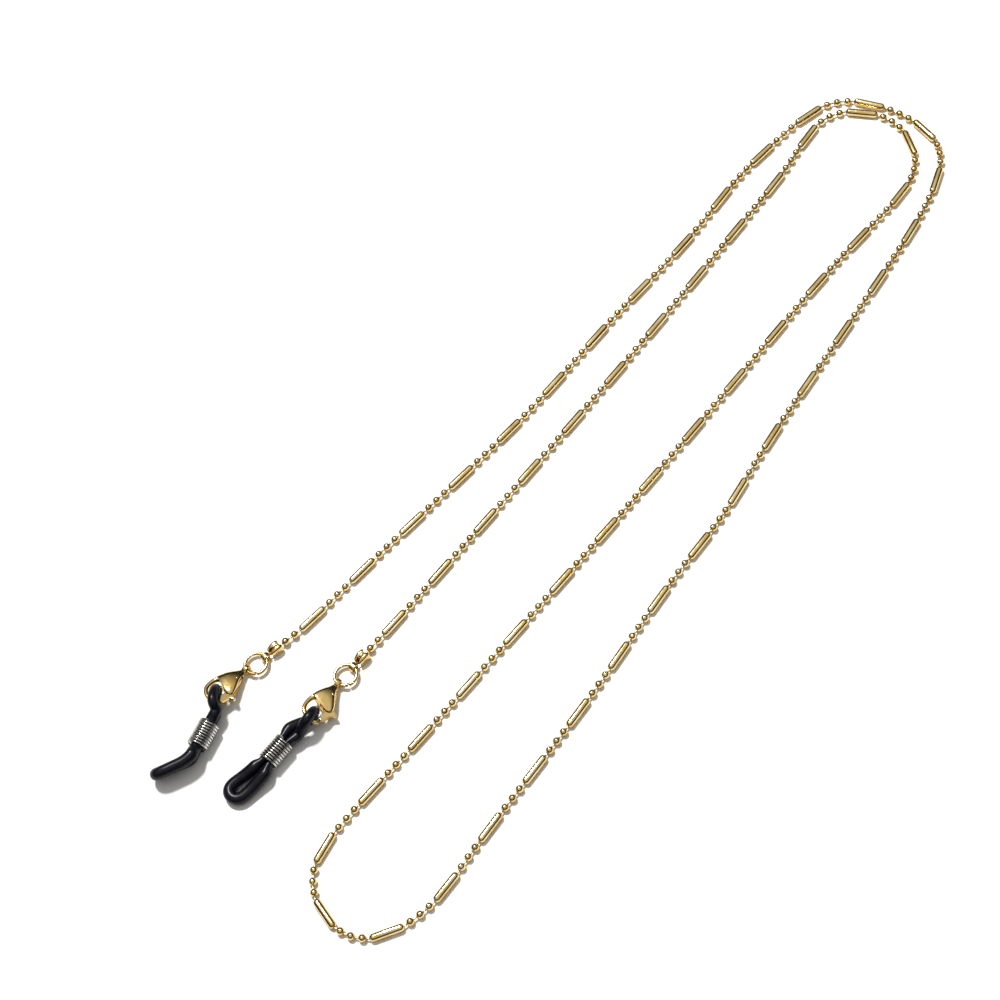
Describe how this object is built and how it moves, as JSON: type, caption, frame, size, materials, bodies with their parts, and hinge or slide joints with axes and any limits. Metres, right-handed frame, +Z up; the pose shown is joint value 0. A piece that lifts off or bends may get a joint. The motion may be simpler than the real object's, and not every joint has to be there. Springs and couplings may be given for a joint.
{
  "type": "eyeglasses chain strap",
  "caption": "Bar-and-ball neck chain with a lobster clasp and a rubber temple loop with a sliding coil at each end.",
  "frame": {"origin": "on the surface that the strap lies on, under the middle of its box", "axes": "+Z up, off the surface; X along the folded chain, with its fittings towards -X"},
  "size_m": [0.1972, 0.0616, 0.0055],
  "materials": {
    "gold_bar": "polished light gold plating on rolled tube",
    "gold_ball": "polished light gold plating on pressed balls",
    "gold_wire": "drawn wire, light gold plating",
    "gold_fitting": "polished gold plating on cast and folded fittings",
    "steel_wire": "bright nickel-plated spring wire",
    "black_rubber": "smooth semi-gloss black rubber"
  },
  "bodies": {
    "chain_01": {"chain_01_bars": "gold_bar", "chain_01_balls": "gold_ball", "chain_01_links": "gold_wire"},
    "chain_02": {"chain_02_bars": "gold_bar", "chain_02_balls": "gold_ball", "chain_02_links": "gold_wire"},
    "chain_03": {"chain_03_bars": "gold_bar", "chain_03_balls": "gold_ball", "chain_03_links": "gold_wire"},
    "chain_04": {"chain_04_bars": "gold_bar", "chain_04_balls": "gold_ball", "chain_04_links": "gold_wire"},
    "chain_05": {"chain_05_bars": "gold_bar", "chain_05_balls": "gold_ball", "chain_05_links": "gold_wire"},
    "chain_06": {"chain_06_bars": "gold_bar", "chain_06_balls": "gold_ball", "chain_06_links": "gold_wire"},
    "chain_07": {"chain_07_bars": "gold_bar", "chain_07_balls": "gold_ball", "chain_07_links": "gold_wire"},
    "chain_08": {"chain_08_bars": "gold_bar", "chain_08_balls": "gold_ball", "chain_08_links": "gold_wire"},
    "chain_09": {"chain_09_bars": "gold_bar", "chain_09_balls": "gold_ball", "chain_09_links": "gold_wire"},
    "chain_10": {"chain_10_bars": "gold_bar", "chain_10_balls": "gold_ball", "chain_10_links": "gold_wire"},
    "chain_11": {"chain_11_bars": "gold_bar", "chain_11_balls": "gold_ball", "chain_11_links": "gold_wire"},
    "chain_12": {"chain_12_bars": "gold_bar", "chain_12_balls": "gold_ball", "chain_12_links": "gold_wire"},
    "chain_13": {"chain_13_bars": "gold_bar", "chain_13_balls": "gold_ball", "chain_13_links": "gold_wire"},
    "chain_14": {"chain_14_bars": "gold_bar", "chain_14_balls": "gold_ball", "chain_14_links": "gold_wire"},
    "left_connector": {"left_crimp_connector": "gold_fitting"},
    "left_ring": {"left_jump_ring": "gold_fitting"},
    "left_clasp": {"left_clasp_body": "gold_fitting", "left_clasp_pin": "steel_wire", "left_clasp_spring": "steel_wire"},
    "left_lever": {"left_clasp_lever": "gold_fitting"},
    "left_loop": {"left_rubber_loop": "black_rubber"},
    "left_coil": {"left_coil_slider": "steel_wire"},
    "right_connector": {"right_crimp_connector": "gold_fitting"},
    "right_ring": {"right_jump_ring": "gold_fitting"},
    "right_clasp": {"right_clasp_body": "gold_fitting", "right_clasp_pin": "steel_wire", "right_clasp_spring": "steel_wire"},
    "right_lever": {"right_clasp_lever": "gold_fitting"},
    "right_loop": {"right_rubber_loop": "black_rubber"},
    "right_coil": {"right_coil_slider": "steel_wire"}
  },
  "joints": [
    {"name": "chain_01_flex", "type": "hinge", "parent": "chain_02", "child": "chain_01", "pos_m": [-0.00802, 0.02103, 0.00075], "axis": [0.0666, 0.9978, 0], "range_deg": [0, 20]},
    {"name": "chain_02_flex", "type": "hinge", "parent": "chain_03", "child": "chain_02", "pos_m": [0.04436, 0.02022, 0.00075], "axis": [0.0169, 0.9999, 0], "range_deg": [0, 20]},
    {"name": "chain_03_flex", "type": "hinge", "parent": "chain_04", "child": "chain_03", "pos_m": [0.09483, 0.01403, 0.00075], "axis": [0.8078, 0.5894, 0], "range_deg": [0, 20]},
    {"name": "chain_04_flex", "type": "hinge", "parent": "chain_05", "child": "chain_04", "pos_m": [0.0667, -0.01557, 0.00075], "axis": [0.1248, -0.9922, 0], "range_deg": [0, 20]},
    {"name": "chain_05_flex", "type": "hinge", "parent": "chain_06", "child": "chain_05", "pos_m": [0.0147, -0.02201, 0.00075], "axis": [0.1686, -0.9857, 0], "range_deg": [0, 20]},
    {"name": "chain_06_flex", "type": "hinge", "parent": "chain_07", "child": "chain_06", "pos_m": [-0.03743, -0.027, 0.00075], "axis": [0.0856, -0.9963, 0], "range_deg": [0, 20]},
    {"name": "chain_07_flex", "type": "hinge", "parent": "chain_08", "child": "chain_07", "pos_m": [-0.08961, -0.02888, 0.00075], "axis": [-0.2848, -0.9586, 0], "range_deg": [0, 20]},
    {"name": "chain_09_flex", "type": "hinge", "parent": "chain_08", "child": "chain_09", "pos_m": [-0.05217, -0.00777, 0.00075], "axis": [-0.0066, -1, 0], "range_deg": [0, 20]},
    {"name": "chain_10_flex", "type": "hinge", "parent": "chain_09", "child": "chain_10", "pos_m": [0.00023, -0.00792, 0.00075], "axis": [0.0109, -0.9999, 0], "range_deg": [0, 20]},
    {"name": "chain_11_flex", "type": "hinge", "parent": "chain_10", "child": "chain_11", "pos_m": [0.05262, -0.0069, 0.00075], "axis": [0.0024, -1, 0], "range_deg": [0, 20]},
    {"name": "chain_12_flex", "type": "hinge", "parent": "chain_11", "child": "chain_12", "pos_m": [0.09513, 0.00771, 0.00075], "axis": [0.8877, 0.4603, 0], "range_deg": [0, 20]},
    {"name": "chain_13_flex", "type": "hinge", "parent": "chain_12", "child": "chain_13", "pos_m": [0.04691, 0.01337, 0.00075], "axis": [-0.0417, 0.9991, 0], "range_deg": [0, 20]},
    {"name": "chain_14_flex", "type": "hinge", "parent": "chain_13", "child": "chain_14", "pos_m": [-0.00547, 0.01189, 0.00076], "axis": [-0.0114, 0.9999, 0], "range_deg": [0, 20]},
    {"name": "left_connector_swing", "type": "hinge", "parent": "chain_01", "child": "left_connector", "pos_m": [-0.06504, 0.02592, 0.0011], "axis": [0, 0, 1], "range_deg": [-10, 10]},
    {"name": "left_ring_swing", "type": "hinge", "parent": "left_connector", "child": "left_ring", "pos_m": [-0.06761, 0.0263, 0.00103], "axis": [0.2334, 0.9724, 0], "range_deg": [0, 50]},
    {"name": "left_clasp_swing", "type": "hinge", "parent": "left_ring", "child": "left_clasp", "pos_m": [-0.07164, 0.02746, 0.00102], "axis": [0.0698, 0.9976, 0], "range_deg": [0, 50]},
    {"name": "left_lever_press", "type": "hinge", "parent": "left_clasp", "child": "left_lever", "pos_m": [-0.0744, 0.02698, 0.00164], "axis": [-0.2165, -0.0198, -0.9761], "range_deg": [0, 12], "stiffness_Nm_per_rad": 0.01, "springref_deg": -20.05},
    {"name": "left_loop_swing", "type": "hinge", "parent": "left_clasp", "child": "left_loop", "pos_m": [-0.08029, 0.02725, 0.00294], "axis": [0.0698, 0.9976, 0], "range_deg": [0, 35]},
    {"name": "left_coil_slide", "type": "slide", "parent": "left_loop", "child": "left_coil", "axis": [-0.9656, -0.2587, 0.0262], "range_m": [-0.001, 0.0015], "deforming": ["left_rubber_loop"]},
    {"name": "right_connector_swing", "type": "hinge", "parent": "chain_14", "child": "right_connector", "pos_m": [-0.05656, 0.01156, 0.0011], "axis": [0, 0, 1], "range_deg": [-10, 10]},
    {"name": "right_ring_swing", "type": "hinge", "parent": "right_connector", "child": "right_ring", "pos_m": [-0.05916, 0.01161, 0.00103], "axis": [0.0174, 0.9998, 0], "range_deg": [0, 50]},
    {"name": "right_clasp_swing", "type": "hinge", "parent": "right_ring", "child": "right_clasp", "pos_m": [-0.06336, 0.01168, 0.00103], "axis": [-0.1736, 0.9848, 0], "range_deg": [0, 50]},
    {"name": "right_lever_press", "type": "hinge", "parent": "right_clasp", "child": "right_lever", "pos_m": [-0.06597, 0.01056, 0.00145], "axis": [-0.2407, 0.2032, -0.9491], "range_deg": [0, 12], "stiffness_Nm_per_rad": 0.01, "springref_deg": -20.05},
    {"name": "right_loop_swing", "type": "hinge", "parent": "right_clasp", "child": "right_loop", "pos_m": [-0.072, 0.01025, 0.00291], "axis": [-0.1736, 0.9848, 0], "range_deg": [0, 35]},
    {"name": "right_coil_slide", "type": "slide", "parent": "right_loop", "child": "right_coil", "axis": [-0.9998, -0.0174, 0], "range_m": [-0.001, 0.0015], "deforming": ["right_rubber_loop"]}
  ]
}
